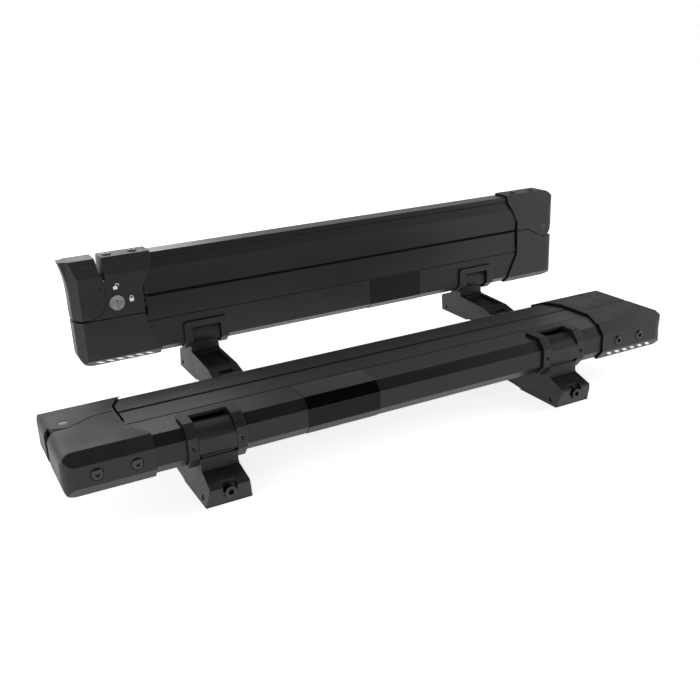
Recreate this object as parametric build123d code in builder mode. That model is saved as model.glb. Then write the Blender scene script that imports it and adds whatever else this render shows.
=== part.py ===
"""A pair of flip-down clamp-jaw ski carriers for a car roof, one standing up and one folded flat.

Both carriers are the same. Each is built once, standing up, in its own frame: x runs along the jaws from
the push-button end to the hinge end, y across them from the inner face to the outer one, z is up from the
crossbar, and the origin is under the fold pivot, midway between the feet. A carrier is then placed, and
its jaws are folded or left standing. All sizes are in millimetres.
"""
from build123d import *
import math
import os

# ---------------------------------------------------------------- the two carriers, as they stand
carrier_gap = 287.3          # between the two fold pivots, across the roof
carrier_shift = 90.9         # how far the front carrier stands to the left of the rear one
foot_spacing = 384.7         # between the two feet of one carrier
pivot_height = 50.5          # fold pivot above the crossbar

# ---------------------------------------------------------------- jaws: two hollow aluminium extrusions
jaw_depth = 35.7             # across, inner face to outer face
jaw_height = 117.0           # both jaws closed
split_height = 70.3          # where the jaws meet
split_gap = 2.2              # daylight between the two extrusions when closed
split_round = 0.9            # how far their outer edges are cut back along this gap
bottom_flat = 17.6           # width of the lower jaw's bottom face
bottom_bevel = 7.5           # height of its bottom bevels
top_flat = 22.2              # width of the upper jaw's top face
top_bevel = 17.0             # height of its top bevels
jaw_wall = 2.4               # wall of the extrusions
score_height = 40.5          # fine groove along the lower jaw's faces
ledge_height = 111.0         # fine groove along the upper jaw's bevels
score_size = 0.8             # depth of both grooves
full_reach = 258.0           # both extrusions have their full section this far from the middle
lower_reach = 303.0          # the lower one goes on this far inside its end caps, cut down to a tenon
upper_reach_latch = 297.5    # the upper one inside the push-button end
upper_reach_hinge = 302.0    # and inside the hinge end
lower_tenon_top = 48.0       # height of the lower tenon
upper_tenon_bottom = 92.0    # underside of the upper tenon
pivot_rise = 12.3            # fold pivot above the jaws' bottom face

# ---------------------------------------------------------------- rubber pads
pad_reach = 255.0            # half length of the pads
pad_width = 30.0
pad_base = 9.4               # depth of the pad's foot, held in its channel
pad_lip_width = 27.2         # opening of the channel
pad_lip = 2.0                # thickness of the lips that hold the pad
pad_gap = 0.4                # between the two pads when closed
pad_fit = 0.2
rib_count = 5
rib_depth = 1.6

# ---------------------------------------------------------------- moulded end caps
cap_proud = 2.4              # caps stand this far outside the extrusions
cap_fit = 0.15               # room round the tenons
cap_edge = 247.0             # caps' inner edge at top and bottom
cap_waist = 261.0            # and at mid height, where it is cut back in a chevron
chevron_low = 9.0            # height where the lower caps' edge starts to lean back
chevron_high = 38.0
chevron_top = 109.0          # the same for the upper caps
chevron_upper = 82.5
cap_joint = 1.2              # daylight between upper and lower caps
lip_width = 2.6              # the caps' edges are undercut this far back, as a shadow gap
lip_gap = 1.5                # and stand this far off the extrusion there
hinge_end = 324.0            # end face at the hinge
latch_end = 339.5            # end face at the push button
hinge_plan_radius = 11.0     # upright corners of the hinge end
latch_facet = 8.5            # facets that narrow the push-button end, along the jaw
latch_facet_depth = 11.0     # and across it
hinge_top_radius = 16.0
hinge_bottom_radius = 12.0
latch_bottom_radius = 17.0
latch_split = 51.5           # top of the lower cap at the push-button end

# ---------------------------------------------------------------- jaw hinge
jaw_pin_x = 306.6
jaw_pin_radius = 4.0
ear_radius = 12.6            # rounded ears of the upper cap
ear_bottom = 57.0            # joint line beside the ears
ramp_start = 279.0           # the joint line slopes from here, down along the ears' circle
ear_thickness = 5.2
running_gap = 0.05           # radial, on pins that turn
side_gap = 0.4               # beside ears, knuckles and levers

# ---------------------------------------------------------------- push button, hook and lock
button_pin_x = -309.0
button_pin_z = 88.2
button_pin_radius = 2.0
button_wall = 4.6            # side walls of the button
button_end_wall = 3.2        # and its end wall
button_corner = 21.0         # large lower corner beside the lock
button_corner_x = -324.2     # centre of that corner
button_corner_z = 75.0
button_lip = 6.5             # how far the finger lip flares past the end
lip_taper = 2.0              # how much the lip narrows on each side
button_gap = 0.6             # between the button and the cap it sits in
tongue_width = 22.0          # the cap's tongue that carries the button's pin
tongue_radius = 6.0
latch_top_end = -300.9       # where the cap stops beside the button
spring_wire = 0.5
spring_pitch = 1.2
spring_turns = 2.25
hook_x = -326.2              # middle of the hook's shank
hook_thickness = 3.6
hook_width = 6.0
hook_nose = 3.3              # length of the nose
hook_bottom = 36.0
catch_x = -318.0
catch_z = 43.2
catch_radius = 2.5
hook_clearance = 0.4         # between the nose and the catch
hook_slot_end = -335.6
lock_x = -291.6
lock_z = 69.0
lock_radius = 8.5
lock_proud = 1.6
lock_length = 15.0
lock_cam_length = 9.6

# ---------------------------------------------------------------- fold yokes, knuckles and feet
yoke_width = 53.4
yoke_proud = 3.3             # band outside the extrusion
yoke_top = 30.8
window_width = 35.2
window_top = 23.6
window_far_top = 21.8
yoke_corner = 4.0
yoke_lip = 1.4               # undercut of the band's edges
yoke_seat = 1.8              # how far the band overlaps the jaw beside its notch
pin_reach = 24.2             # half length of the fold pins
fold_pin_radius = 4.0
knuckle_width = 34.4
knuckle_radius = 16.9
knuckle_neck = 2.6           # groove under the knuckle
post_front = 14.6            # outer face of the post, from the pivot
post_back = 7.6              # its face over the tail
post_top = 39.2
post_bottom = 27.2
foot_top_width = 34.6
foot_base_width = 43.0
foot_front_low = 30.6        # outer end of the foot at the bottom
foot_front_high = 36.4       # and at the top of its end face
foot_front_height = 20.4
foot_tail = 92.0             # length of the tail from the pivot
foot_corner = 6.0            # upright corners of the foot
tail_break = 63.0            # where the tail's top starts to fall
tail_break_height = 24.4
tail_knee = 84.0
tail_knee_height = 18.0
pad_thickness = 1.2          # rubber under each foot
strap_slot_y = -73.5
strap_slot_width = 16.0
strap_slot_length = 6.4
bolt_height = 13.4
bolt_radius = 3.0
bolt_head_radius = 5.2
bolt_head_height = 6.0
bolt_head_face = 37.6        # face of the head from the pivot
bolt_slot_width = 13.4       # open slot in the foot's end face
bolt_length = 40.0
washer_thickness = 1.6
bolt_socket = 5.0            # across the flats
anchor_radius = 2.6          # anchor pin of the clamping band
anchor_y = 21.0
anchor_height = 6.4
lip_proud = 0.6              # lip at the foot of the post
lip_height = 1.4
plug_depth = 10.0            # how deep the post stands in its foot
panel_depth = 2.4            # sunk panel on top of the tail
panel_rim = 4.0
panel_span = (14.0, 58.0)
arch_span = (-82.0, -28.0)   # shallow arch under the tail
arch_rise = 1.6

# ---------------------------------------------------------------- cap screws
screw_radius = 2.45
screw_head_radius = 5.25
screw_head_height = 3.0
screw_sink = 1.6             # how deep the heads sit in the caps
screw_length = 9.0
hinge_low_screws = (263.2, 296.5)
latch_low_screws = (-299.3, -268.7)
hinge_top_screws = (265.4, 296.8)
latch_top_screws = (-291.8, -263.2)
set_screw_radius = 2.5
label_start = 29.0
label_end = 104.0
label_thickness = 0.4

half_depth = jaw_depth / 2
half_split = split_gap / 2
reach_all = 400.0            # longer than anything here, for tools that cut right through

side_low = [(bottom_flat / 2, 0), (half_depth, bottom_bevel)]
side_high = [(half_depth, jaw_height - top_bevel), (top_flat / 2, jaw_height)]


def mirrored(side):
    """A closed outline from its points on the outer side, listed from the bottom up."""
    return side + [(-y, z) for y, z in reversed(side)]


def band(low, high):
    """The jaws' outline between two heights, with every bevel that lies between them."""
    def width(z):
        if z < bottom_bevel:
            return bottom_flat / 2 + (half_depth - bottom_flat / 2) * z / bottom_bevel
        if z > jaw_height - top_bevel:
            rise = (z - jaw_height + top_bevel) / top_bevel
            return half_depth + (top_flat / 2 - half_depth) * rise
        return half_depth
    corners = [(y, z) for y, z in side_low + side_high if low < z < high]
    return mirrored([(width(low), low)] + corners + [(width(high), high)])


def outline(points):
    """A face from a closed run of points, in the sketch that is open."""
    turns = zip(points, points[1:] + points[:1])
    area = sum(a[0] * b[1] - b[0] * a[1] for a, b in turns)
    Polygon(*(points if area > 0 else points[::-1]), align=None)


def along_x(points, start, end, grow=0.0):
    """A prism along x with the given cross-section, grown outwards by an even amount."""
    with BuildPart() as prism:
        with BuildSketch(Plane.YZ.offset(start)):
            outline(points)
            if grow:
                offset(amount=grow, kind=Kind.INTERSECTION)
        extrude(amount=end - start)
    return prism.part


def across_y(points, half_width=reach_all, middle=0.0):
    """A prism across the jaws with the given outline in x and z."""
    with BuildPart() as prism:
        with BuildSketch(Plane.XZ.offset(-middle)):
            outline(points)
        extrude(amount=half_width, both=True)
    return prism.part


def rod_y(x, z, radius, low, high):
    """A round bar along y."""
    with BuildPart() as rod:
        with BuildSketch(Plane.XZ.offset(-low)):
            with Locations((x, z)):
                Circle(radius)
        extrude(amount=-(high - low))
    return rod.part


def rod_x(y, z, radius, low, high):
    """A round bar along x."""
    with BuildPart() as rod:
        with BuildSketch(Plane.YZ.offset(low)):
            with Locations((y, z)):
                Circle(radius)
        extrude(amount=high - low)
    return rod.part


def rod_z(x, y, radius, low, high):
    """A round bar along z."""
    with BuildPart() as rod:
        with BuildSketch(Plane.XY.offset(low)):
            with Locations((x, y)):
                Circle(radius)
        extrude(amount=high - low)
    return rod.part


def block(x, y, z):
    """A box from its three spans."""
    with BuildPart() as box:
        with BuildSketch(Plane.XY.offset(z[0])):
            with Locations(((x[0] + x[1]) / 2, (y[0] + y[1]) / 2)):
                Rectangle(x[1] - x[0], y[1] - y[0])
        extrude(amount=z[1] - z[0])
    return box.part


# ================================================================ jaws
foot_places = (-foot_spacing / 2, foot_spacing / 2)
lower_top = split_height - half_split
upper_bottom = split_height + half_split
lower_channel = lower_top - pad_lip - pad_base - pad_fit
upper_channel = upper_bottom + pad_lip + pad_base + pad_fit
notch_top = pivot_rise + knuckle_radius + side_gap
screw_line = (window_width + yoke_width) / 4


def v_groove(height, y_edge, lean):
    """The cutter of a fine groove along the jaws, in a face that leans by the given amount per unit."""
    size = score_size
    points = [(y_edge + size, height + 2 * size), (y_edge - size, height),
              (y_edge + size, height - 2 * size)]
    return along_x([(y + (z - height) * lean, z) for y, z in points], -reach_all, reach_all)


def groove_pair(height, y_edge, lean=0.0):
    """The same groove in the inner and the outer face."""
    outer = v_groove(height, y_edge, lean)
    return [outer, outer.mirror(Plane.XZ)]


def edge_pair(height, side):
    """The cutters that break both long edges of a jaw at the gap between the jaws."""
    inward = height - side * split_round
    points = [(half_depth + 1, inward - side), (half_depth - split_round - 1, height + side),
              (half_depth + 1, height + side)]
    outer = along_x(points, -reach_all, reach_all)
    return [outer, outer.mirror(Plane.XZ)]


def pad_channel(low, high, lip_low, lip_high):
    """The cutter of a pad's channel, wide behind and narrow at the lips."""
    wide = along_x([(-pad_width / 2 - pad_fit, low), (pad_width / 2 + pad_fit, low),
                    (pad_width / 2 + pad_fit, high), (-pad_width / 2 - pad_fit, high)],
                   -reach_all, reach_all)
    narrow = along_x([(-pad_lip_width / 2, lip_low), (pad_lip_width / 2, lip_low),
                      (pad_lip_width / 2, lip_high), (-pad_lip_width / 2, lip_high)],
                     -reach_all, reach_all)
    return [wide, narrow]


def make_lower_bar():
    """Lower jaw: a box section with a pad channel on top, notched over each fold knuckle."""
    with BuildPart() as lower_bar:
        add(along_x(band(0, lower_top), -full_reach, full_reach))
        add(along_x(band(0, lower_tenon_top), -lower_reach, lower_reach))
        add(along_x(band(0, lower_channel), -lower_reach, lower_reach, -jaw_wall), mode=Mode.SUBTRACT)
        for cutter in pad_channel(lower_channel, lower_top - pad_lip, split_height - 5, split_height):
            add(cutter, mode=Mode.SUBTRACT)
        for cutter in groove_pair(score_height, half_depth) + edge_pair(lower_top, 1):
            add(cutter, mode=Mode.SUBTRACT)
        for place in foot_places:
            notch = yoke_width / 2 - yoke_seat
            add(block((place - notch, place + notch), (-half_depth - 1, half_depth + 1), (-1, notch_top)),
                mode=Mode.SUBTRACT)
        for place in hinge_low_screws + latch_low_screws:
            add(rod_z(place, 0, screw_radius + running_gap, -1, 5), mode=Mode.SUBTRACT)
    return lower_bar.part


def make_upper_bar():
    """Upper jaw: the matching section with its channel underneath and a tall bevelled back."""
    lean = (top_flat / 2 - half_depth) / top_bevel
    ledge = half_depth + (ledge_height - jaw_height + top_bevel) * lean
    with BuildPart() as upper_bar:
        add(along_x(band(upper_bottom, jaw_height), -full_reach, full_reach))
        add(along_x(band(upper_tenon_bottom, jaw_height), -upper_reach_latch, upper_reach_hinge))
        add(along_x(band(upper_channel, jaw_height), -lower_reach, lower_reach, -jaw_wall),
            mode=Mode.SUBTRACT)
        for cutter in pad_channel(upper_bottom + pad_lip, upper_channel, split_height, split_height + 5):
            add(cutter, mode=Mode.SUBTRACT)
        for cutter in groove_pair(ledge_height, ledge, lean) + edge_pair(upper_bottom, -1):
            add(cutter, mode=Mode.SUBTRACT)
        for place in hinge_top_screws + latch_top_screws:
            add(rod_z(place, 0, screw_radius + running_gap, jaw_height - 5, jaw_height + 1),
                mode=Mode.SUBTRACT)
    return upper_bar.part


def ribbed(face, depth):
    """The zigzag of a pad's face: full height on the ribs, and cut in between them."""
    pitch = (pad_lip_width - 2 * pad_fit) / rib_count
    start = -rib_count * pitch / 2
    points = []
    for rib in range(rib_count):
        left = start + rib * pitch
        points += [(left + 0.15 * pitch, face), (left + 0.85 * pitch, face)]
        if rib < rib_count - 1:
            points.append((left + pitch, face - depth))
    return points


def make_lower_pad():
    """Lower rubber pad, held by its foot in the channel."""
    foot = lower_channel + pad_fit
    neck = pad_lip_width / 2 - pad_fit
    base = [(pad_width / 2, lower_top - pad_lip - pad_fit), (pad_width / 2, foot),
            (-pad_width / 2, foot), (-pad_width / 2, lower_top - pad_lip - pad_fit),
            (-neck, lower_top - pad_lip - pad_fit)]
    face = ribbed(split_height - pad_gap / 2, rib_depth)
    with BuildPart() as lower_pad:
        add(along_x(base + face + [(neck, lower_top - pad_lip - pad_fit)], -pad_reach, pad_reach))
    return lower_pad.part


def make_upper_pad():
    """Upper rubber pad, the same extrusion upside down."""
    with BuildPart() as upper_pad:
        add(make_lower_pad().mirror(Plane.XY.offset(split_height)))
    return upper_pad.part


# ================================================================ end caps
def end_shape(end, top_radius, bottom_radius, sign):
    """What both caps of one end are cut from: the cap section with its narrowed and rounded end."""
    outer = jaw_height + cap_proud
    wide = half_depth + cap_proud
    with BuildPart() as shape:
        add(along_x(band(0, jaw_height), 0, sign * end, cap_proud))
        with BuildSketch(Plane.XY.offset(-50)):
            if sign < 0:
                outline([(0, -wide), (latch_facet - end, -wide), (-end, latch_facet_depth - wide),
                         (-end, wide - latch_facet_depth), (latch_facet - end, wide), (0, wide)])
            else:
                outline([(0, -wide), (end, -wide), (end, wide), (0, wide)])
                fillet(vertices().group_by(Axis.X)[-1], hinge_plan_radius)
        extrude(amount=250, mode=Mode.INTERSECT)
        for radius, height, spare in ((bottom_radius, -cap_proud, outer + 50), (top_radius, outer, -50)):
            if radius:
                with BuildSketch(Plane.XZ):
                    outline([(0, height), (sign * end, height), (sign * end, spare), (0, spare)])
                    fillet(vertices().sort_by_distance((sign * end, height))[0], radius)
                extrude(amount=100, both=True, mode=Mode.INTERSECT)
    return shape.part


def undercut(points, shift):
    """The cutter under a cap's edge: the jaws' section grown by the lip's gap, along the edge's outline."""
    shifted = [(x + shift, z) for x, z in reversed(points)]
    strip = across_y([(x - shift, z) for x, z in points] + shifted)
    grown = along_x(band(0, jaw_height), -reach_all, reach_all, lip_gap)
    return strip.intersect(grown)


def button_head(x, y, z, down):
    """A screw's button head with its hex socket, standing on z."""
    side = -1 if down else 1
    with BuildPart() as head:
        with BuildSketch(Plane.XY.offset(z)):
            with Locations((x, y)):
                Circle(screw_head_radius)
        extrude(amount=side * screw_head_height)
        rim = head.edges().filter_by(GeomType.CIRCLE).sort_by(Axis.Z)[0 if down else -1]
        fillet(rim, screw_head_height * 0.6)
        with BuildSketch(Plane.XY.offset(z + side * screw_head_height)):
            with Locations((x, y)):
                RegularPolygon(2.0 / math.cos(math.pi / 6), 6)
        extrude(amount=-side * 1.9, mode=Mode.SUBTRACT)
    return head.part


def screw_seat(x, down):
    """What a cap screw cuts out of a cap: the sunk seat and the clear hole."""
    face = -cap_proud if down else jaw_height + cap_proud
    inward = 1 if down else -1
    seat = rod_z(x, 0, screw_head_radius + 0.3, *sorted((face - inward, face + inward * screw_sink)))
    hole = rod_z(x, 0, screw_radius + 0.35, *sorted((face - inward, face + inward * 8)))
    return [seat, hole]


def cap_screw(x, down):
    """One button-head cap screw in its place."""
    face = -cap_proud if down else jaw_height + cap_proud
    inward = 1 if down else -1
    seat = face + inward * screw_sink
    with BuildPart() as screw:
        add(button_head(x, 0, seat, down))
        add(rod_z(x, 0, screw_radius, *sorted((seat, seat + inward * screw_length))))
    return screw.part


ramp_radius = ear_radius + cap_joint / 4
ramp_angle = math.asin(ramp_radius / (jaw_pin_x - ramp_start))
ramp_run = (jaw_pin_x - ramp_start) * math.cos(ramp_angle)


def make_lower_hinge_cap():
    """Lower cap at the hinge: a sleeve over the tenon, with the central knuckle of the jaw hinge."""
    top = split_height - cap_joint / 2
    floor = ear_bottom - cap_joint
    edge = [(cap_edge, -50), (cap_edge, chevron_low), (cap_waist, chevron_high), (cap_waist, top),
            (ramp_start, top), (ramp_start + (top - floor) / math.tan(ramp_angle), floor),
            (hinge_end + 5, floor), (hinge_end + 5, -50)]
    knuckle = half_depth + cap_proud - ear_thickness - side_gap
    with BuildPart() as lower_hinge_cap:
        add(end_shape(hinge_end, hinge_top_radius, hinge_bottom_radius, 1))
        add(across_y(edge), mode=Mode.INTERSECT)
        add(rod_y(jaw_pin_x, split_height, ear_radius + side_gap, -half_depth - 5, half_depth + 5),
            mode=Mode.SUBTRACT)
        add(rod_y(jaw_pin_x, split_height, ear_radius - 0.6, -knuckle, knuckle))
        add(block((jaw_pin_x - 9, jaw_pin_x + 9), (-knuckle, knuckle), (45, split_height)))
        add(along_x(band(0, lower_tenon_top), 200, lower_reach, cap_fit), mode=Mode.SUBTRACT)
        add(along_x(band(0, lower_top), 200, full_reach, cap_fit), mode=Mode.SUBTRACT)
        add(rod_y(jaw_pin_x, split_height, jaw_pin_radius, -50, 50), mode=Mode.SUBTRACT)
        add(undercut(edge[:4], lip_width), mode=Mode.SUBTRACT)
        for place in hinge_low_screws:
            for cutter in screw_seat(place, True):
                add(cutter, mode=Mode.SUBTRACT)
    return lower_hinge_cap.part


def make_upper_hinge_cap():
    """Upper cap at the hinge: its two rounded ears turn on the jaw pin."""
    low = split_height + cap_joint / 2
    foot_x = ramp_start + ramp_run * math.cos(ramp_angle)
    foot_z = low - ramp_run * math.sin(ramp_angle)
    edge = [(cap_edge, 200), (cap_edge, chevron_top), (cap_waist, chevron_upper), (cap_waist, low),
            (ramp_start, low), (foot_x, foot_z), (jaw_pin_x, low), (hinge_end + 5, low),
            (hinge_end + 5, 200)]
    knuckle = half_depth + cap_proud - ear_thickness
    cavity_top = split_height + ear_radius + 0.8
    with BuildPart() as upper_hinge_cap:
        add(end_shape(hinge_end, hinge_top_radius, hinge_bottom_radius, 1))
        add(across_y(edge) + rod_y(jaw_pin_x, split_height, ear_radius, -50, 50), mode=Mode.INTERSECT)
        add(block((cap_waist + 3, hinge_end - 3), (-knuckle, knuckle), (0, cavity_top)),
            mode=Mode.SUBTRACT)
        add(along_x(band(upper_tenon_bottom, jaw_height), 200, upper_reach_hinge, cap_fit),
            mode=Mode.SUBTRACT)
        add(along_x(band(upper_bottom, jaw_height), 200, full_reach, cap_fit), mode=Mode.SUBTRACT)
        add(rod_y(jaw_pin_x, split_height, jaw_pin_radius + running_gap, -50, 50), mode=Mode.SUBTRACT)
        add(undercut(edge[:4], lip_width), mode=Mode.SUBTRACT)
        for place in hinge_top_screws:
            for cutter in screw_seat(place, False):
                add(cutter, mode=Mode.SUBTRACT)
    return upper_hinge_cap.part


def make_lower_latch_cap():
    """Lower cap at the push button: a sleeve over the tenon, with the well that takes the hook."""
    edge = [(-cap_edge, -50), (-cap_edge, chevron_low), (-cap_waist, chevron_high),
            (-cap_waist, latch_split), (-latch_end - 5, latch_split), (-latch_end - 5, -50)]
    with BuildPart() as lower_latch_cap:
        add(end_shape(latch_end, 0, latch_bottom_radius, -1))
        add(across_y(edge), mode=Mode.INTERSECT)
        add(along_x(band(0, lower_tenon_top), -lower_reach, -200, cap_fit), mode=Mode.SUBTRACT)
        add(along_x(band(0, lower_top), -full_reach, -200, cap_fit), mode=Mode.SUBTRACT)
        add(block((hook_slot_end, catch_x + catch_radius + 1.5), (-hook_width / 2 - 1, hook_width / 2 + 1),
                  (hook_bottom - 3, latch_split + 1)), mode=Mode.SUBTRACT)
        add(rod_y(catch_x, catch_z, catch_radius, -half_depth + 6, half_depth - 6), mode=Mode.SUBTRACT)
        with BuildSketch(Plane((-latch_end + 1.5, 0, 1.5), x_dir=(0, 1, 0), z_dir=(-1, 0, -1))):
            Ellipse(9.5, 6.5)
        extrude(amount=-6.5, mode=Mode.SUBTRACT)
        extrude_face = Plane((-latch_end, 0, 0), x_dir=(0, 1, 0), z_dir=(-1, 0, 0))
        with BuildSketch(extrude_face):
            with Locations((-4.5, 44), (-4.5, 32), (-4.5, 22)):
                Rectangle(1.8, 6)
        extrude(amount=-1.5, mode=Mode.SUBTRACT)
        add(undercut(edge[:4], -lip_width), mode=Mode.SUBTRACT)
        for place in latch_low_screws:
            for cutter in screw_seat(place, True):
                add(cutter, mode=Mode.SUBTRACT)
    return lower_latch_cap.part


def button_outline(gap):
    """The push button's outline in x and z, with a gap round its lower corner and its inner side."""
    top = jaw_height + cap_proud
    radius = button_corner + gap
    side = button_corner_x + radius
    with BuildSketch(Plane.XZ) as shape:
        with BuildLine():
            right = Polyline((side - 4.8, top), (side - 3.8, top - 9.6), (side, 90), (side, button_corner_z))
            corner = CenterArc((button_corner_x, button_corner_z), radius, 0, -90)
            floor = Line(corner @ 1, (-latch_end, button_corner_z - radius))
            back = Line(floor @ 1, (-latch_end, 80))
            lip = Spline(back @ 1, (-latch_end - button_lip, top), tangents=((0, 1), (-0.35, 1)))
            Line(lip @ 1, right @ 0)
        make_face()
    return shape.sketch_local


def make_upper_latch_cap():
    """Upper cap at the push button: it holds the lock, and a tongue that carries the button."""
    low = latch_split + cap_joint
    edge = [(-cap_edge, 200), (-cap_edge, chevron_top), (-cap_waist, chevron_upper),
            (-cap_waist, low), (button_corner_x, low), (button_corner_x, button_pin_z),
            (latch_top_end, button_pin_z + tongue_radius), (latch_top_end, 200)]
    with BuildPart() as upper_latch_cap:
        add(end_shape(latch_end, 0, latch_bottom_radius, -1))
        add(across_y(edge), mode=Mode.INTERSECT)
        with BuildSketch(Plane.XZ):
            add(button_outline(button_gap))
        extrude(amount=100, both=True, mode=Mode.SUBTRACT)
        add(rod_y(button_pin_x, button_pin_z, tongue_radius, -tongue_width / 2, tongue_width / 2))
        add(block((button_pin_x, latch_top_end), (-tongue_width / 2, tongue_width / 2),
                  (button_pin_z - tongue_radius, button_pin_z + tongue_radius)))
        add(along_x(band(upper_tenon_bottom, jaw_height), -upper_reach_latch, -200, cap_fit),
            mode=Mode.SUBTRACT)
        add(along_x(band(upper_bottom, jaw_height), -full_reach, -200, cap_fit), mode=Mode.SUBTRACT)
        add(along_x(band(latch_split - 5, lower_top), -full_reach, -200, cap_fit), mode=Mode.SUBTRACT)
        add(rod_y(lock_x, lock_z, lock_radius + running_gap, -50, -half_depth + lock_length - 8),
            mode=Mode.SUBTRACT)
        add(rod_y(lock_x, lock_z, lock_cam_length + 0.6, -half_depth + lock_length - 8.2,
                  -half_depth + lock_length - 2), mode=Mode.SUBTRACT)
        add(rod_y(button_pin_x, button_pin_z, button_pin_radius, -50, 50), mode=Mode.SUBTRACT)
        add(undercut(edge[:4], -lip_width), mode=Mode.SUBTRACT)
        for place in latch_top_screws:
            for cutter in screw_seat(place, False):
                add(cutter, mode=Mode.SUBTRACT)
    return upper_latch_cap.part


def make_button():
    """Push button: a hollow lever with a flared finger lip, hung on its pin."""
    wide = half_depth + cap_proud
    tip = -latch_end - button_lip - 1
    right = button_corner_x + button_corner + 1
    facet = latch_facet - latch_end
    flat = wide - latch_facet_depth
    hollow = wide - button_wall
    inner_end = -latch_end + button_end_wall
    roof = jaw_height - 5
    with BuildPart() as button:
        add(along_x(band(0, jaw_height), tip, right, cap_proud))
        with BuildSketch(Plane.XY.offset(-50)):
            outline([(right, -wide), (facet, -wide), (-latch_end, -flat), (tip, -flat + lip_taper),
                     (tip, flat - lip_taper), (-latch_end, flat), (facet, wide), (right, wide)])
        extrude(amount=250, mode=Mode.INTERSECT)
        with BuildSketch(Plane.XZ):
            add(button_outline(0))
        extrude(amount=100, both=True, mode=Mode.INTERSECT)
        with BuildSketch(Plane.XY):
            outline([(right, -hollow), (facet + button_end_wall, -hollow), (inner_end, button_wall - flat),
                     (inner_end, flat - button_wall), (facet + button_end_wall, hollow), (right, hollow)])
        extrude(amount=roof, mode=Mode.SUBTRACT)
        add(rod_y(button_pin_x, button_pin_z, button_pin_radius + running_gap, -50, 50),
            mode=Mode.SUBTRACT)
    return button.part


def make_latch_hook():
    """Latch hook: a flat steel hook fixed inside the button, with its nose beside the catch."""
    left = hook_x - hook_thickness / 2
    right = hook_x + hook_thickness / 2
    nose = catch_x - catch_radius - hook_clearance
    tip = min(nose, right + hook_nose)
    wall = -latch_end + button_end_wall
    with BuildPart() as latch_hook:
        with BuildSketch(Plane.XZ):
            outline([(left, hook_bottom), (tip, hook_bottom + 1.2), (tip, hook_bottom + 4.2),
                     (right, hook_bottom + 4.2), (right, 74), (wall, 74), (wall, 66), (left, 66)])
        extrude(amount=hook_width / 2, both=True)
    return latch_hook.part


def make_latch_catch():
    """Catch: a short steel bar across the hook's well."""
    reach = half_depth - 6
    with BuildPart() as latch_catch:
        add(rod_y(catch_x, catch_z, catch_radius, -reach, reach))
    return latch_catch.part


def make_lock_barrel():
    """Key lock: a round barrel with its key slot, and the cam behind it."""
    face = -half_depth - cap_proud - lock_proud
    back = -half_depth + lock_length - 8
    with BuildPart() as lock_barrel:
        add(rod_y(lock_x, lock_z, lock_radius, face, back))
        with BuildSketch(Plane.XZ.offset(-face)):
            with Locations((lock_x, lock_z)):
                Circle(lock_radius - 1.2)
        extrude(amount=-0.8, mode=Mode.SUBTRACT)
        with BuildSketch(Plane.XZ.offset(-face - 0.8)):
            with Locations((lock_x, lock_z)):
                SlotCenterToCenter(5.4, 2.2, rotation=90)
        extrude(amount=-6, mode=Mode.SUBTRACT)
        with BuildSketch(Plane.XZ.offset(-back)):
            with Locations((lock_x, lock_z)):
                Circle(5.0)
            with Locations((lock_x, lock_z + (lock_cam_length - 1) / 2)):
                Rectangle(6, lock_cam_length - 1)
        extrude(amount=-4)
    return lock_barrel.part


def make_jaw_pin():
    """Jaw hinge pin, fixed in the lower cap's knuckle, with a turned recess in each end."""
    reach = half_depth + cap_proud - 0.3
    with BuildPart() as jaw_pin:
        add(rod_y(jaw_pin_x, split_height, jaw_pin_radius, -reach, reach))
    return jaw_pin.part


def make_button_pin():
    """Button pin, pressed through the cap's tongue."""
    reach = half_depth + cap_proud - 1.2
    with BuildPart() as button_pin:
        add(rod_y(button_pin_x, button_pin_z, button_pin_radius, -reach, reach))
    return button_pin.part


def make_button_spring():
    """Return spring: wire wound round the button's pin beside the tongue."""
    start = (button_pin_x, tongue_width / 2 + spring_wire + 0.1, button_pin_z)
    with BuildPart() as button_spring:
        with BuildLine():
            path = Helix(spring_pitch, spring_pitch * spring_turns, button_pin_radius + 0.5 + spring_wire,
                         center=start, direction=(0, 1, 0))
        with BuildSketch(Plane(path @ 0, z_dir=path % 0)):
            Circle(spring_wire)
        sweep(is_frenet=True)
    return button_spring.part


# ================================================================ fold yokes and pivots


def make_yoke(place):
    """Fold yoke: a band round the lower jaw with two solid cheeks, open between them for the knuckle."""
    low = place - yoke_width / 2
    high = place + yoke_width / 2
    window = (place - window_width / 2, place + window_width / 2)
    wide = half_depth + yoke_proud + 1
    with BuildPart() as yoke:
        add(along_x(band(0, yoke_top), low, high, yoke_proud))
        with BuildSketch(Plane.XZ):
            outline([(low, -50), (high, -50), (high, yoke_top), (low, yoke_top)])
            fillet([v for v in vertices() if v.Y > 0], yoke_corner)
        extrude(amount=50, both=True, mode=Mode.INTERSECT)
        add(along_x(band(0, split_height), low - 1, high + 1, cap_fit), mode=Mode.SUBTRACT)
        add(along_x(band(0, notch_top - cap_fit), low + yoke_seat + cap_fit, high - yoke_seat - cap_fit,
                    cap_fit))
        add(block(window, (-wide, 0), (-50, window_top)), mode=Mode.SUBTRACT)
        add(block(window, (0, wide), (-50, window_far_top)), mode=Mode.SUBTRACT)
        add(block(window, (-half_depth - cap_fit, half_depth + cap_fit), (-50, yoke_top + 1)),
            mode=Mode.SUBTRACT)
        for start in (low - 1, high - yoke_lip):
            add(along_x(band(0, split_height), start, start + 1 + yoke_lip, lip_gap), mode=Mode.SUBTRACT)
        add(rod_x(0, pivot_rise, fold_pin_radius, place - pin_reach, place + pin_reach), mode=Mode.SUBTRACT)
        for side in (-1, 1):
            add(rod_z(place + side * screw_line, 0, set_screw_radius, -10, pivot_rise), mode=Mode.SUBTRACT)
    return yoke.part


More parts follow.
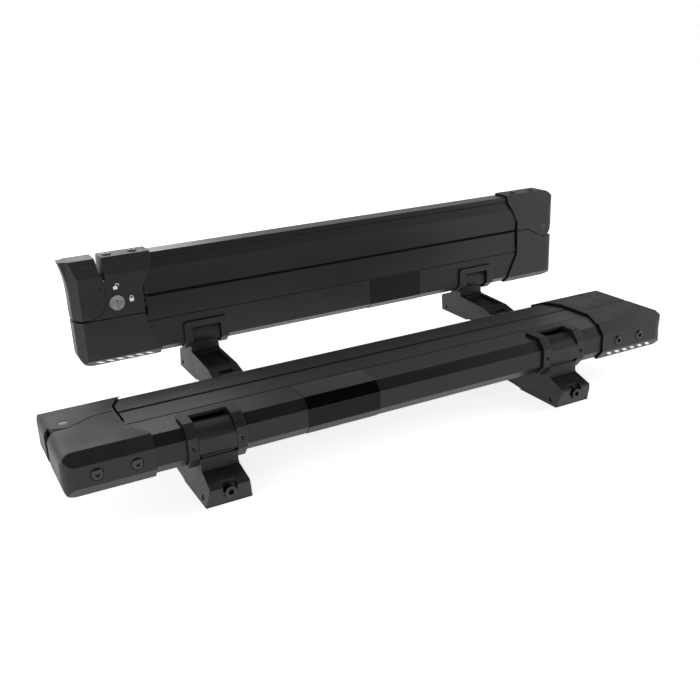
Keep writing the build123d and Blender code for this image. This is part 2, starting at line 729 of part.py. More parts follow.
def make_pivot_pins():
    """Fold pins: one through each knuckle and the two cheeks beside it."""
    with BuildPart() as pivot_pins:
        for place in foot_places:
            add(rod_x(0, pivot_rise, fold_pin_radius, place - pin_reach, place + pin_reach))
    return pivot_pins.part


def make_pin_screws():
    """Set screws that lock the fold pins, one from below through each cheek of a yoke."""
    low = -yoke_proud + 0.8
    with BuildPart() as pin_screws:
        for place in foot_places:
            for side in (-1, 1):
                x = place + side * screw_line
                add(rod_z(x, 0, set_screw_radius, low, pivot_rise - fold_pin_radius))
                with BuildSketch(Plane.XY.offset(low)):
                    with Locations((x, 0)):
                        RegularPolygon(1.25 / math.cos(math.pi / 6), 6)
                extrude(amount=2.5, mode=Mode.SUBTRACT)
    return pin_screws.part


def make_label_band():
    """Plain glossy band wrapped round the lower jaw, up to the fine grooves."""
    top = score_height - 2 * score_size - 0.3
    with BuildPart() as label_band:
        add(along_x(band(0, top), label_start, label_end, label_thickness))
        add(along_x(band(0, top), label_start - 1, label_end + 1), mode=Mode.SUBTRACT)
        add(block((label_start - 1, label_end + 1), (-50, 50), (top, top + 10)), mode=Mode.SUBTRACT)
    return label_band.part


def screw_group(lines, down):
    """All the cap screws of one jaw, as one group of separate screws."""
    with BuildPart() as screws:
        for place in lines:
            add(cap_screw(place, down))
    return screws.part


# ================================================================ feet, in heights above the crossbar
def make_post(place):
    """Post: a casting that stands in the foot and ends in the fold knuckle."""
    half = knuckle_width / 2
    x = (place - half, place + half)
    inset = (place - half + 2, place + half - 2)
    flat = pivot_rise + yoke_proud
    run = half_depth - bottom_flat / 2
    size = math.hypot(run, bottom_bevel)
    lean = (bottom_bevel / size, run / size)
    reach = bottom_flat / 2 * lean[0] + pivot_rise * lean[1] + yoke_proud
    with BuildPart() as post:
        add(rod_x(0, pivot_height, knuckle_radius, *x))
        add(block(x, (flat, 50), (0, 100)), mode=Mode.SUBTRACT)
        with BuildSketch(Plane((place, lean[1] * reach, pivot_height + lean[0] * reach),
                               x_dir=(1, 0, 0), z_dir=(0, lean[1], lean[0]))):
            Rectangle(knuckle_width + 2, 60)
        extrude(amount=30, mode=Mode.SUBTRACT)
        add(block(x, (-50, 50), (0, post_top + knuckle_neck)), mode=Mode.SUBTRACT)
        add(block(inset, (-post_back + 1, post_front - 1.5), (post_top, pivot_height)))
        add(block(x, (-post_back, post_front), (post_bottom, post_top)))
        add(block((x[0] - lip_proud / 2, x[1] + lip_proud / 2),
                  (-post_back - lip_proud, post_front + lip_proud),
                  (post_bottom, post_bottom + lip_height)))
        add(block((x[0] + 3, x[1] - 3), (-post_back + 2.5, post_front - 2.5),
                  (post_bottom - plug_depth, post_bottom)))
        add(rod_x(0, pivot_height, fold_pin_radius + running_gap, place - 50, place + 50),
            mode=Mode.SUBTRACT)
    return post.part


def make_foot(place):
    """Foot: a drafted moulding with the bolt's open slot at its end and a strap slot in its tail."""
    low = pad_thickness
    half_top = foot_top_width / 2
    half_base = foot_base_width / 2
    seat = bolt_head_face - bolt_head_height - washer_thickness
    slope = (post_bottom - tail_break_height) / (tail_break - post_back - 1)
    panel = [(-y, post_bottom - slope * (y - post_back - 1) - panel_depth) for y in panel_span]
    with BuildPart() as foot:
        with BuildSketch(Plane.YZ.offset(place)):
            outline([(foot_front_low, low), (foot_front_high, foot_front_height - 2),
                     (foot_front_high - 1.6, foot_front_height), (post_front + 4, post_bottom - 0.8),
                     (post_front + 1, post_bottom), (-post_back - 1, post_bottom),
                     (-tail_break, tail_break_height), (-tail_knee, tail_knee_height),
                     (-foot_tail, tail_knee_height - 7), (-foot_tail, low + 2), (-foot_tail + 2, low)])
        extrude(amount=half_base, both=True)
        with BuildSketch(Plane.XZ):
            outline([(place - half_base, low), (place + half_base, low), (place + half_base - 1, 6),
                     (place + half_top, post_bottom), (place - half_top, post_bottom),
                     (place - half_base + 1, 6)])
        extrude(amount=200, both=True, mode=Mode.INTERSECT)
        with BuildSketch(Plane.XY):
            outline([(place - half_base, -foot_tail), (place + half_base, -foot_tail),
                     (place + half_base, foot_front_high), (place - half_base, foot_front_high)])
            fillet(vertices(), foot_corner)
        extrude(amount=50, mode=Mode.INTERSECT)
        with BuildSketch(Plane.YZ.offset(place)):
            with BuildLine():
                arch = ThreePointArc((arch_span[0], low), (sum(arch_span) / 2, low + arch_rise),
                                     (arch_span[1], low))
                Line(arch @ 1, arch @ 0)
            make_face()
        extrude(amount=half_base, both=True, mode=Mode.SUBTRACT)
        add(block((place - knuckle_width / 2 + 3, place + knuckle_width / 2 - 3),
                  (-post_back + 2.5, post_front - 2.5), (post_bottom - plug_depth, 50)), mode=Mode.SUBTRACT)
        with BuildSketch(Plane.YZ.offset(place)):
            outline(panel + [(panel[1][0], 50), (panel[0][0], 50)])
        extrude(amount=half_top - panel_rim, both=True, mode=Mode.SUBTRACT)
        with BuildSketch(Plane.XZ.offset(-seat)):
            with Locations((place, bolt_height)):
                Circle(bolt_slot_width / 2)
            outline([(place - bolt_slot_width / 2, bolt_height), (place + bolt_slot_width / 2, bolt_height),
                     (place + bolt_slot_width / 2, 50), (place - bolt_slot_width / 2, 50)])
        extrude(amount=-40, mode=Mode.SUBTRACT)
        add(rod_y(place, bolt_height, bolt_radius, seat - bolt_length, 50), mode=Mode.SUBTRACT)
        add(rod_x(anchor_y, anchor_height, anchor_radius, place - 50, place + 50), mode=Mode.SUBTRACT)
        add(block((place - strap_slot_width / 2, place + strap_slot_width / 2),
                  (strap_slot_y - strap_slot_length / 2, strap_slot_y + strap_slot_length / 2), (-10, 50)),
            mode=Mode.SUBTRACT)
    return foot.part


def make_clamp_bolts():
    """Clamp bolts: one socket-head bolt in the end of each foot."""
    seat = bolt_head_face - bolt_head_height
    with BuildPart() as clamp_bolts:
        for place in foot_places:
            add(rod_y(place, bolt_height, bolt_head_radius, seat, bolt_head_face))
            add(rod_y(place, bolt_height, bolt_radius, seat - washer_thickness - bolt_length, seat))
            with BuildSketch(Plane.XZ.offset(-bolt_head_face)):
                with Locations((place, bolt_height)):
                    RegularPolygon(bolt_socket / 2 / math.cos(math.pi / 6), 6)
            extrude(amount=4, mode=Mode.SUBTRACT)
    return clamp_bolts.part


def make_bolt_washers():
    """Washers under the heads of the clamp bolts."""
    seat = bolt_head_face - bolt_head_height
    with BuildPart() as bolt_washers:
        for place in foot_places:
            add(rod_y(place, bolt_height, bolt_slot_width / 2 - 0.3, seat - washer_thickness, seat))
            add(rod_y(place, bolt_height, bolt_radius, seat - 5, seat + 5), mode=Mode.SUBTRACT)
    return bolt_washers.part


def make_strap_anchors():
    """Anchor pins across the feet, where the clamping band is hooked on."""
    with BuildPart() as strap_anchors:
        for place in foot_places:
            reach = foot_base_width / 2 - 2
            add(rod_x(anchor_y, anchor_height, anchor_radius, place - reach, place + reach))
    return strap_anchors.part


def make_base_pads():
    """Rubber pads under both ends of each foot."""
    reach = foot_base_width / 2
    slot = strap_slot_y - strap_slot_length / 2
    with BuildPart() as base_pads:
        for place in foot_places:
            add(block((place - reach, place + reach), (arch_span[1], foot_front_low), (0, pad_thickness)))
            add(block((place - reach, place + reach), (2 - foot_tail, arch_span[0]), (0, pad_thickness)))
    return base_pads.part


# ================================================================ both carriers, placed and written
def unit_parts():
    """Every sub-part of one carrier, by name: those that fold with the jaws, then those that stay."""
    folding = {
        "lower_bar": make_lower_bar(),
        "upper_bar": make_upper_bar(),
        "lower_pad": make_lower_pad(),
        "upper_pad": make_upper_pad(),
        "lower_hinge_cap": make_lower_hinge_cap(),
        "upper_hinge_cap": make_upper_hinge_cap(),
        "lower_latch_cap": make_lower_latch_cap(),
        "upper_latch_cap": make_upper_latch_cap(),
        "button": make_button(),
        "button_pin": make_button_pin(),
        "button_spring": make_button_spring(),
        "latch_hook": make_latch_hook(),
        "latch_catch": make_latch_catch(),
        "lock_barrel": make_lock_barrel(),
        "jaw_hinge_pin": make_jaw_pin(),
        "lower_cap_screws": screw_group(hinge_low_screws + latch_low_screws, True),
        "upper_cap_screws": screw_group(hinge_top_screws + latch_top_screws, False),
        "label_band": make_label_band(),
        "left_yoke": make_yoke(foot_places[0]),
        "right_yoke": make_yoke(foot_places[1]),
        "pivot_pins": make_pivot_pins(),
        "pin_screws": make_pin_screws(),
    }
    standing = {
        "left_post": make_post(foot_places[0]),
        "right_post": make_post(foot_places[1]),
        "left_foot": make_foot(foot_places[0]),
        "right_foot": make_foot(foot_places[1]),
        "clamp_bolts": make_clamp_bolts(),
        "bolt_washers": make_bolt_washers(),
        "strap_anchors": make_strap_anchors(),
        "base_pads": make_base_pads(),
    }
    return folding, standing


folding, standing = unit_parts()
rear_place = Location((carrier_shift / 2, carrier_gap / 2, 0))
front_place = Location((-carrier_shift / 2, -carrier_gap / 2, 0), (0, 0, 180))
upright = Location((0, 0, pivot_height - pivot_rise))
folded = Location((0, 0, pivot_height), (90, 0, 0)) * Location((0, 0, -pivot_rise))

os.makedirs("parts", exist_ok=True)
for carrier, place, stance in (("rear", rear_place, upright), ("front", front_place, folded)):
    for group, location in ((folding, place * stance), (standing, place)):
        for name, shape in group.items():
            with BuildPart() as sub_part:
                add(shape.moved(location))
            sub_part.part.label = f"{carrier}_{name}"
            export_step(sub_part.part, f"parts/{carrier}_{name}.step")
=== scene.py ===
import math

import bpy
import numpy as np
from mathutils import Matrix, Vector


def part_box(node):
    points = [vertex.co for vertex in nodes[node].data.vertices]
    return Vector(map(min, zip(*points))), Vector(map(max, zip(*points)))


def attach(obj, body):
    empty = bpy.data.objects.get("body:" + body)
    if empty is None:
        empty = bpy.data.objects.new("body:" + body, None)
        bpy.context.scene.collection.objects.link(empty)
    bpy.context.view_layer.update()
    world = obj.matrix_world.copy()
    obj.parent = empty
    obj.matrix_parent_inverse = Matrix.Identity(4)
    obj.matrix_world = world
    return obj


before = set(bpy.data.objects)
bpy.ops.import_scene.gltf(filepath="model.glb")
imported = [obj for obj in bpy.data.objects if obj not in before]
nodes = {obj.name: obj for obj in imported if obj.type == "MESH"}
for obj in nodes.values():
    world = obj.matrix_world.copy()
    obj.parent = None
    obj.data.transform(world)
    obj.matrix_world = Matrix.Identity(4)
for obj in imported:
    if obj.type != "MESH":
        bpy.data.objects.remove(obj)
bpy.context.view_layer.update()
carriers = ("rear", "front")

# ---------------------------------------------------------------- camera, floor and light
# The rack stands on a white studio sweep, seen from its front left and a little above. The walls round it
# are bright and the ceiling is dark, so upright faces show the walls while tops and bevels stay black.
camera_place = Vector((-0.4533, -0.8295, 0.3891))
camera_turn = 0.4780          # to the right of straight ahead
camera_tilt = 0.3555          # down
camera_roll = -0.0429
camera_lens = 45.77

ahead = Vector((math.sin(camera_turn) * math.cos(camera_tilt),
                math.cos(camera_turn) * math.cos(camera_tilt),
                -math.sin(camera_tilt)))
level = Vector((math.cos(camera_turn), -math.sin(camera_turn), 0.0))
upward = level.cross(ahead)
right = level * math.cos(camera_roll) + upward * math.sin(camera_roll)
top = upward * math.cos(camera_roll) - level * math.sin(camera_roll)
camera_data = bpy.data.cameras.new("camera")
camera_data.lens = camera_lens
camera_data.sensor_width = 36.0
camera_data.clip_start = 0.01
camera = bpy.data.objects.new("camera", camera_data)
camera.matrix_world = Matrix.Translation(camera_place) @ Matrix((right, top, -ahead)).transposed().to_4x4()
bpy.context.scene.collection.objects.link(camera)
bpy.context.scene.camera = camera


def soft_box(name, place, target, width, height, power):
    """A rectangular area light at a place, turned to look at its target."""
    data = bpy.data.lights.new(name, "AREA")
    data.shape = "RECTANGLE"
    data.size = width
    data.size_y = height
    data.energy = power
    lamp = bpy.data.objects.new(name, data)
    lamp.location = place
    lamp.rotation_euler = (Vector(target) - Vector(place)).to_track_quat("-Z", "Y").to_euler()
    bpy.context.scene.collection.objects.link(lamp)


soft_box("overhead", (0.1, 0.5, 1.5), (0.0, 0.0, 0.05), 1.2, 0.5, 3.5)
soft_box("front_left", (-1.6, -1.1, 0.7), (0.0, 0.0, 0.08), 0.6, 0.6, 3.0)
soft_box("right_end", (1.5, -0.5, 0.7), (0.3, 0.0, 0.08), 0.5, 0.9, 6.0)
soft_box("back_rim", (-0.4, 1.5, 0.7), (0.0, 0.1, 0.1), 1.6, 0.4, 8.0)

wall_top = 0.10               # sine of the height where the bright walls start to darken
ceiling_start = 0.72          # and where the dark ceiling is reached
wall_strength = 0.85
ceiling_strength = 0.06
world = bpy.data.worlds.new("studio")
bpy.context.scene.world = world
world.use_nodes = True
wn = world.node_tree.nodes
wl = world.node_tree.links
wn.clear()
seen = wn.new("ShaderNodeBackground")
seen.inputs["Color"].default_value = (1.0, 1.0, 1.0, 1.0)
seen.inputs["Strength"].default_value = 1.0
room = wn.new("ShaderNodeBackground")
room.inputs["Color"].default_value = (1.0, 1.0, 1.0, 1.0)
direction = wn.new("ShaderNodeTexCoord")
height_of_look = wn.new("ShaderNodeSeparateXYZ")
walls = wn.new("ShaderNodeMapRange")
walls.interpolation_type = "SMOOTHSTEP"
walls.inputs["From Min"].default_value = wall_top
walls.inputs["From Max"].default_value = ceiling_start
walls.inputs["To Min"].default_value = wall_strength
walls.inputs["To Max"].default_value = ceiling_strength
wl.new(direction.outputs["Generated"], height_of_look.inputs[0])
wl.new(height_of_look.outputs["Z"], walls.inputs["Value"])
wl.new(walls.outputs["Result"], room.inputs["Strength"])
path = wn.new("ShaderNodeLightPath")
either = wn.new("ShaderNodeMixShader")
world_out = wn.new("ShaderNodeOutputWorld")
wl.new(path.outputs["Is Camera Ray"], either.inputs["Fac"])
wl.new(room.outputs["Background"], either.inputs[1])
wl.new(seen.outputs["Background"], either.inputs[2])
wl.new(either.outputs["Shader"], world_out.inputs["Surface"])
bpy.context.scene.view_settings.view_transform = "Standard"

floor_mesh = bpy.data.meshes.new("floor")
floor_mesh.from_pydata([(-12, -12, 0), (12, -12, 0), (12, 12, 0), (-12, 12, 0)], [], [(0, 1, 2, 3)])
floor = bpy.data.objects.new("floor", floor_mesh)
floor_paint = bpy.data.materials.new("floor_paint")
floor_paint.use_nodes = True
shell = floor_paint.node_tree.nodes["Principled BSDF"]
shell.inputs["Base Color"].default_value = (0.93, 0.93, 0.93, 1.0)
shell.inputs["Roughness"].default_value = 0.7
shell.inputs["Specular IOR Level"].default_value = 0.2
shell.inputs["Emission Color"].default_value = (1.0, 1.0, 1.0, 1.0)
shell.inputs["Emission Strength"].default_value = 0.8
floor_mesh.materials.append(floor_paint)
bpy.context.scene.collection.objects.link(floor)


# ---------------------------------------------------------------- jaws
# The two jaws of each carrier are hollow aluminium extrusions, bead blasted and anodised satin black.
# The die leaves faint lines along them, and the long edges are painted brighter as a highlight.
def new_group(name, inputs, outputs):
    """An empty shader node group with named value inputs and outputs, and its two end nodes."""
    tree = bpy.data.node_groups.new(name, "ShaderNodeTree")
    for label, default in inputs:
        socket = tree.interface.new_socket(name=label, in_out="INPUT", socket_type="NodeSocketFloat")
        socket.default_value = default
    for label, kind in outputs:
        tree.interface.new_socket(name=label, in_out="OUTPUT", socket_type=kind)
    return tree, tree.nodes.new("NodeGroupInput"), tree.nodes.new("NodeGroupOutput")


def math_node(tree, operation, first, second):
    """One Math node in a tree, each input a socket or a number."""
    node = tree.nodes.new("ShaderNodeMath")
    node.operation = operation
    for socket, value in zip(node.inputs, (first, second)):
        if isinstance(value, (int, float)):
            socket.default_value = value
        else:
            tree.links.new(value, socket)
    return node.outputs[0]


def edge_group():
    """Softened edges: the surface normal blended over a small radius, and how far it departs from the true
    one, from 0 on flats to 1 on sharp edges."""
    tree, given, result = new_group("soft_edges", [("Radius", 0.0005), ("Reach", 6.0)],
                                    [("Normal", "NodeSocketVector"), ("Edge", "NodeSocketFloat")])
    bevel = tree.nodes.new("ShaderNodeBevel")
    bevel.samples = 6
    tree.links.new(given.outputs["Radius"], bevel.inputs["Radius"])
    geometry = tree.nodes.new("ShaderNodeNewGeometry")
    dot = tree.nodes.new("ShaderNodeVectorMath")
    dot.operation = "DOT_PRODUCT"
    tree.links.new(bevel.outputs["Normal"], dot.inputs[0])
    tree.links.new(geometry.outputs["Normal"], dot.inputs[1])
    turned = math_node(tree, "SUBTRACT", 1.0, dot.outputs["Value"])
    strong = math_node(tree, "MULTIPLY", turned, given.outputs["Reach"])
    clipped = math_node(tree, "MINIMUM", strong, 1.0)
    tree.links.new(bevel.outputs["Normal"], result.inputs["Normal"])
    tree.links.new(clipped, result.inputs["Edge"])
    return tree


def cloud_group():
    """Slow cloudy variation, 0 to 1: noise of the asked scale, stretched along x by the asked amount."""
    tree, given, result = new_group("cloudy", [("Scale", 30.0), ("Stretch", 1.0), ("Detail", 3.0)],
                                    [("Value", "NodeSocketFloat")])
    place = tree.nodes.new("ShaderNodeTexCoord")
    parts = tree.nodes.new("ShaderNodeSeparateXYZ")
    join = tree.nodes.new("ShaderNodeCombineXYZ")
    noise = tree.nodes.new("ShaderNodeTexNoise")
    tree.links.new(place.outputs["Object"], parts.inputs[0])
    squeezed = math_node(tree, "DIVIDE", parts.outputs["X"], given.outputs["Stretch"])
    tree.links.new(squeezed, join.inputs["X"])
    tree.links.new(parts.outputs["Y"], join.inputs["Y"])
    tree.links.new(parts.outputs["Z"], join.inputs["Z"])
    tree.links.new(join.outputs[0], noise.inputs["Vector"])
    tree.links.new(given.outputs["Scale"], noise.inputs["Scale"])
    tree.links.new(given.outputs["Detail"], noise.inputs["Detail"])
    tree.links.new(noise.outputs["Fac"], result.inputs["Value"])
    return tree


soft_edges = edge_group()
cloudy = cloud_group()


class Finish:
    """A material under construction: its tree, its shader, and short ways to place and link nodes."""

    def __init__(self, name, color, metallic, roughness, specular=0.5):
        self.material = bpy.data.materials.new(name)
        self.material.use_nodes = True
        self.tree = self.material.node_tree
        self.shader = self.tree.nodes["Principled BSDF"]
        self.shader.inputs["Base Color"].default_value = (*color, 1.0)
        self.shader.inputs["Metallic"].default_value = metallic
        self.shader.inputs["Roughness"].default_value = roughness
        self.shader.inputs["Specular IOR Level"].default_value = specular

    def group(self, tree, **values):
        """A shared group placed in this material with its own values."""
        node = self.tree.nodes.new("ShaderNodeGroup")
        node.node_tree = tree
        for label, value in values.items():
            node.inputs[label].default_value = value
        return node

    def blend(self, factor, low, high):
        """Two colours mixed by a mask; either may be the output of another node."""
        node = self.tree.nodes.new("ShaderNodeMix")
        node.data_type = "RGBA"
        self.tree.links.new(factor, node.inputs["Factor"])
        for socket, value in ((node.inputs["A"], low), (node.inputs["B"], high)):
            if isinstance(value, tuple):
                socket.default_value = (*value, 1.0)
            else:
                self.tree.links.new(value, socket)
        return node.outputs["Result"]

    def between(self, factor, low, high):
        """A value that goes from low to high as the mask goes from 0 to 1."""
        node = self.tree.nodes.new("ShaderNodeMapRange")
        node.inputs["To Min"].default_value = low
        node.inputs["To Max"].default_value = high
        self.tree.links.new(factor, node.inputs["Value"])
        return node.outputs["Result"]

    def bump(self, height, depth, normal=None):
        """A bump of the given depth in metres from a height of 0 to 1."""
        node = self.tree.nodes.new("ShaderNodeBump")
        node.inputs["Strength"].default_value = 1.0
        node.inputs["Distance"].default_value = depth
        self.tree.links.new(height, node.inputs["Height"])
        if normal:
            self.tree.links.new(normal, node.inputs["Normal"])
        return node.outputs["Normal"]

    def feed(self, socket, source):
        self.tree.links.new(source, self.shader.inputs[socket])


def anodised():
    """Satin black anodising: stretched die lines, cloudy tone, thin edges painted brighter as a highlight."""
    finish = Finish("satin_black_anodising", (0.02, 0.02, 0.021), 0.6, 0.34)
    lines = finish.group(cloudy, Scale=900.0, Stretch=60.0, Detail=2.0)
    haze = finish.group(cloudy, Scale=14.0, Stretch=4.0, Detail=4.0)
    blast = finish.group(cloudy, Scale=3500.0, Stretch=1.0, Detail=2.0)
    edges = finish.group(soft_edges, Radius=0.0004, Reach=5.0)
    tone = finish.blend(haze.outputs["Value"], (0.016, 0.016, 0.017), (0.028, 0.028, 0.030))
    # The edges are painted a paler grey as a highlight where light would catch them.
    finish.feed("Base Color", finish.blend(edges.outputs["Edge"], tone, (0.075, 0.075, 0.078)))
    finish.feed("Roughness", finish.between(lines.outputs["Value"], 0.30, 0.42))
    fine = finish.bump(blast.outputs["Value"], 0.00002, edges.outputs["Normal"])
    finish.feed("Normal", finish.bump(lines.outputs["Value"], 0.00001, fine))
    return finish.material


def dress(material, *names):
    """The material on the named CAD nodes of both carriers."""
    for carrier in carriers:
        for name in names:
            mesh = nodes[f"{carrier}_{name}"].data
            mesh.materials.clear()
            mesh.materials.append(material)


dress(anodised(), "lower_bar", "upper_bar")


# ---------------------------------------------------------------- caps, yokes, posts and feet
# End caps, push button, fold yokes, posts and feet are moulded in glass-filled nylon, black all through.
# The mould is spark eroded, so every face has a fine even grain, and the edges are painted lighter as a
# highlight.
def grained():
    """Black nylon with a spark-eroded grain: small cells over noise, duller in the hollows, edges painted
    lighter as a highlight.
    """
    finish = Finish("grained_black_nylon", (0.012, 0.012, 0.0125), 0.0, 0.5, 0.38)
    grain = finish.group(cloudy, Scale=2600.0, Stretch=1.0, Detail=2.0)
    haze = finish.group(cloudy, Scale=45.0, Stretch=1.0, Detail=5.0)
    edges = finish.group(soft_edges, Radius=0.0007, Reach=4.0)
    tone = finish.blend(haze.outputs["Value"], (0.009, 0.009, 0.0095), (0.017, 0.017, 0.0175))
    # The edges are painted a paler grey as a highlight where light would catch them.
    highlighted = finish.blend(edges.outputs["Edge"], tone, (0.036, 0.036, 0.037))
    finish.feed("Base Color", highlighted)
    finish.feed("Roughness", finish.between(haze.outputs["Value"], 0.34, 0.60))
    finish.feed("Normal", finish.bump(grain.outputs["Value"], 0.00005, edges.outputs["Normal"]))
    return finish.material


nylon = grained()
dress(nylon, "lower_hinge_cap", "upper_hinge_cap", "lower_latch_cap", "upper_latch_cap", "button",
      "left_yoke", "right_yoke", "left_post", "right_post", "left_foot", "right_foot")


# ---------------------------------------------------------------- pads
# Ribbed rubber strips in the jaws grip the skis, and thin rubber sheets under the feet sit on the crossbar.
# Both are extruded or cut from soft black rubber with a dull, slightly dusty skin.
def rubbery():
    """Dull black rubber with a fine dusty bloom."""
    finish = Finish("soft_black_rubber", (0.014, 0.014, 0.014), 0.0, 0.8, 0.3)
    bloom = finish.group(cloudy, Scale=160.0, Stretch=3.0, Detail=6.0)
    dusty = finish.blend(bloom.outputs["Value"], (0.010, 0.010, 0.010), (0.026, 0.026, 0.025))
    finish.feed("Base Color", dusty)
    finish.feed("Roughness", finish.between(bloom.outputs["Value"], 0.7, 0.9))
    finish.feed("Normal", finish.bump(bloom.outputs["Value"], 0.00006))
    return finish.material


dress(rubbery(), "lower_pad", "upper_pad", "base_pads")


# ---------------------------------------------------------------- screws, bolts and pins
# Cap screws, set screws, clamp bolts, washers and anchor pins are blackened steel. The fold pins, spring,
# hook and catch are zinc plated steel with a soft clouded shine.
def steel(name, dark, light, roughness):
    """Turned steel: cloudy plating, fine turning marks and brighter edges."""
    finish = Finish(name, dark, 1.0, roughness)
    cloud = finish.group(cloudy, Scale=300.0, Stretch=1.0, Detail=4.0)
    marks = finish.group(cloudy, Scale=3000.0, Stretch=8.0, Detail=1.0)
    edges = finish.group(soft_edges, Radius=0.0003, Reach=5.0)
    finish.feed("Base Color", finish.blend(cloud.outputs["Value"], dark, light))
    finish.feed("Roughness", finish.between(cloud.outputs["Value"], roughness - 0.06, roughness + 0.08))
    finish.feed("Normal", finish.bump(marks.outputs["Value"], 0.00001, edges.outputs["Normal"]))
    return finish.material


black_steel = steel("blackened_steel", (0.035, 0.035, 0.037), (0.085, 0.085, 0.088), 0.30)
zinc = steel("zinc_plated_steel", (0.42, 0.43, 0.44), (0.60, 0.61, 0.62), 0.30)
dress(black_steel, "lower_cap_screws", "upper_cap_screws", "pin_screws", "clamp_bolts", "jaw_hinge_pin",
      "button_pin", "bolt_washers", "strap_anchors")
dress(zinc, "pivot_pins", "button_spring", "latch_hook", "latch_catch")


# ---------------------------------------------------------------- lock
# A round chrome-plated lock barrel stands in the upper latch cap, with a raised rim and a key slot. The
# face is turned, so its highlights run in rings.
def turned_chrome():
    """Satin chrome with fine cloudy wear."""
    finish = Finish("satin_chrome", (0.75, 0.75, 0.77), 1.0, 0.24)
    wear = finish.group(cloudy, Scale=160.0, Stretch=1.0, Detail=3.0)
    finish.feed("Base Color", finish.blend(wear.outputs["Value"], (0.50, 0.50, 0.51), (0.72, 0.72, 0.74)))
    finish.feed("Roughness", finish.between(wear.outputs["Value"], 0.20, 0.32))
    finish.feed("Normal", finish.bump(wear.outputs["Value"], 0.00001))
    return finish.material


dress(turned_chrome(), "lock_barrel")


# ---------------------------------------------------------------- glossy band
# A plain gloss black film is wrapped round the lower jaw between the feet.
def gloss_film():
    """Very smooth black film with a slight orange peel."""
    finish = Finish("gloss_black_film", (0.002, 0.002, 0.0022), 0.0, 0.08, 0.18)
    peel = finish.group(cloudy, Scale=240.0, Stretch=1.0, Detail=1.0)
    finish.feed("Roughness", finish.between(peel.outputs["Value"], 0.05, 0.13))
    finish.feed("Normal", finish.bump(peel.outputs["Value"], 0.00002))
    return finish.material


dress(gloss_film(), "label_band")


# ---------------------------------------------------------------- padlock marks
# Two small white pictures of a padlock, one open above the lock and one closed beside it, are pad printed
# on the inner face of the upper latch cap.
def cap_face(carrier):
    """The inner face of a carrier's upper latch cap: lock centre on it, the way along the jaw and up it, and
    the way out of it."""
    low, high = (np.array(corner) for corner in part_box(f"{carrier}_lock_barrel"))
    cap_low = np.array(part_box(f"{carrier}_upper_latch_cap")[0])
    middle = (low + high) / 2
    if carrier == "rear":
        centre = np.array((middle[0], cap_low[1], low[2] + (high[0] - low[0]) / 2))
        return centre, np.array((1.0, 0, 0)), np.array((0, 0, 1.0)), np.array((0, -1.0, 0))
    centre = np.array((middle[0], low[1] + (high[0] - low[0]) / 2, cap_low[2]))
    return centre, np.array((-1.0, 0, 0)), np.array((0, 1.0, 0)), np.array((0, 0, -1.0))


def raised_patch(name, flat, frame_of, height):
    """A grid of points in a face, flat[i, j] = (along, up), lifted by a height with its rim let down to the
    face, so it is a thin raised print."""
    centre, along, up, out = frame_of
    rows, columns = flat.shape[:2]
    lift = np.full((rows, columns), height)
    lift[0, :] = lift[-1, :] = lift[:, 0] = lift[:, -1] = -height
    points = centre + flat[..., :1] * along + flat[..., 1:] * up + lift[..., None] * out
    index = np.arange(rows * columns).reshape(rows, columns)
    faces = np.stack([index[:-1, :-1], index[1:, :-1], index[1:, 1:], index[:-1, 1:]], -1).reshape(-1, 4)
    first = points[1, 1]
    turn = np.cross(points[1, 2] - first, points[2, 1] - first)
    if np.dot(turn, out) > 0:
        faces = faces[:, ::-1]
    mesh = bpy.data.meshes.new(name)
    mesh.from_pydata(points.reshape(-1, 3).tolist(), [], faces.tolist())
    piece = bpy.data.objects.new(name, mesh)
    bpy.context.scene.collection.objects.link(piece)
    return piece


def padlock_body(width, height):
    """The padlock's body: a rounded square, u and v each from -1 to 1, drawn in at the corners."""
    u, v = np.meshgrid(np.linspace(-1, 1, 13), np.linspace(-1, 1, 13), indexing="ij")
    pull = 1 - 0.09 * u ** 2 * v ** 2
    return np.stack([u * pull * width / 2, v * pull * height / 2], -1)


def padlock_shackle(radius, thickness, leg):
    """The shackle: a half ring with two straight legs; s runs along it and t across its thickness."""
    s, t = np.meshgrid(np.linspace(-1, 1, 41), np.linspace(-1, 1, 5), indexing="ij")
    arc = math.pi * radius / 2
    total = arc + leg
    run = s * total
    angle = np.clip(run / radius, -math.pi / 2, math.pi / 2)
    down = np.maximum(np.abs(run) - arc, 0.0)
    wide = radius + t * thickness / 2
    return np.stack([wide * np.sin(angle), wide * np.cos(angle) - down], -1)


def print_white():
    """White ink, slightly uneven."""
    finish = Finish("white_ink", (0.85, 0.85, 0.85), 0.0, 0.45)
    ink = finish.group(cloudy, Scale=1500.0, Stretch=1.0, Detail=3.0)
    finish.feed("Base Color", finish.blend(ink.outputs["Value"], (0.72, 0.72, 0.72), (0.92, 0.92, 0.92)))
    finish.feed("Roughness", finish.between(ink.outputs["Value"], 0.4, 0.55))
    return finish.material


white_ink = print_white()
mark_width = 0.0052
mark_height = 0.0042
shackle_radius = 0.0017
shackle_thickness = 0.0009
shackle_leg = 0.0010
shackle_stand = 0.0008        # from the body's top to the middle of the shackle's bow
mark_distance = 0.0166        # from the lock's centre to the open mark, above it
mark_side = 0.0168            # and to the closed one, beside it
mark_shift = 0.0004
open_swing = 0.0024           # how far the open shackle stands to one side
film_proud = 0.00006          # thickness of the ink, and of the reflective film further down
for carrier in carriers:
    face = cap_face(carrier)
    for kind, across, rise, swing in (("open", mark_shift, mark_distance, open_swing),
                                      ("closed", mark_side, mark_shift, 0.0)):
        body = padlock_body(mark_width, mark_height) + (across, rise)
        bow = padlock_shackle(shackle_radius, shackle_thickness, shackle_leg)
        bow = bow + (across + swing, rise + mark_height / 2 + shackle_stand)
        for part, flat in (("body", body), ("shackle", bow)):
            piece = raised_patch(f"{carrier}_padlock_{kind}_{part}", flat, face, film_proud)
            piece.data.materials.append(white_ink)
            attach(piece, f"{carrier}_upper_jaw")


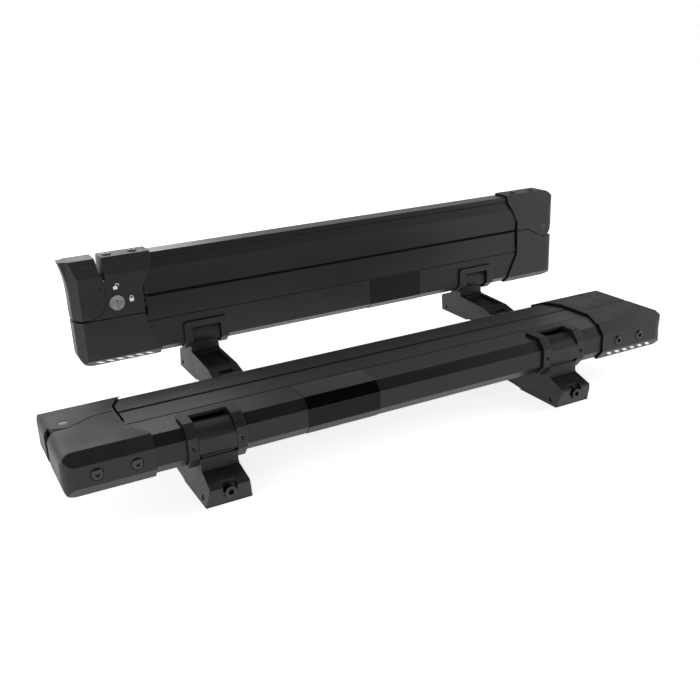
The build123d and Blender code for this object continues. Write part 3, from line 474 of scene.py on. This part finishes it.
# ---------------------------------------------------------------- reflective stripes
# A strip of slanting reflective bars is stuck on the lower inner bevel of each latch cap, so that the
# rack's end shows up in headlights. The bars are glass-beaded film.
def beaded_film():
    """Silver white film with a close pattern of small cells."""
    finish = Finish("reflective_film", (0.8, 0.81, 0.82), 0.25, 0.3)
    place = finish.tree.nodes.new("ShaderNodeTexCoord")
    cells = finish.tree.nodes.new("ShaderNodeTexVoronoi")
    cells.inputs["Scale"].default_value = 1400.0
    finish.tree.links.new(place.outputs["Object"], cells.inputs["Vector"])
    distance = cells.outputs["Distance"]
    finish.feed("Base Color", finish.blend(distance, (0.92, 0.93, 0.94), (0.62, 0.63, 0.65)))
    finish.feed("Roughness", finish.between(distance, 0.22, 0.4))
    finish.feed("Normal", finish.bump(distance, 0.00004))
    return finish.material


film = beaded_film()
cap_bevel_low = (0.00967, -0.0024)
cap_bevel_high = (0.02025, 0.00637)
bar_count = 6
bar_pitch = 0.0112
bar_width = 0.0066
bar_slant = 0.0042
bar_half_height = 0.0036
first_bar = 0.014             # from the cap's inner end to the middle of the first bar
cap_proud = 0.0024            # the caps stand this far outside the jaws


def bevel_face(carrier):
    """The lower inner bevel of a latch cap: its middle at the inner end, along the jaw, up the bevel, out."""
    low, high = (np.array(corner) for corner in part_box(f"{carrier}_lower_latch_cap"))
    across = np.array(cap_bevel_high) - np.array(cap_bevel_low)
    across /= np.linalg.norm(across)
    middle = (np.array(cap_bevel_high) + np.array(cap_bevel_low)) / 2
    if carrier == "rear":
        y = (low[1] + high[1]) / 2
        centre = np.array((high[0] - first_bar, y - middle[0], low[2] + cap_proud + middle[1]))
        return centre, np.array((-1.0, 0, 0)), np.array((0, -across[0], across[1])), np.array(
            (0, -across[1], -across[0]))
    z = (low[2] + high[2]) / 2
    centre = np.array((low[0] + first_bar, low[1] + cap_proud + middle[1], z - middle[0]))
    return centre, np.array((1.0, 0, 0)), np.array((0, across[1], -across[0])), np.array(
        (0, -across[0], -across[1]))


for carrier in carriers:
    face = bevel_face(carrier)
    for number in range(bar_count):
        u, v = np.meshgrid(np.linspace(-1, 1, 5), np.linspace(-1, 1, 9), indexing="ij")
        along = number * bar_pitch + u * bar_width / 2 + v * bar_slant
        flat = np.stack([along, v * bar_half_height], -1)
        stripe = raised_patch(f"{carrier}_reflective_bar_{number + 1}", flat, face, film_proud)
        stripe.data.materials.append(film)
        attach(stripe, f"{carrier}_lower_jaw")
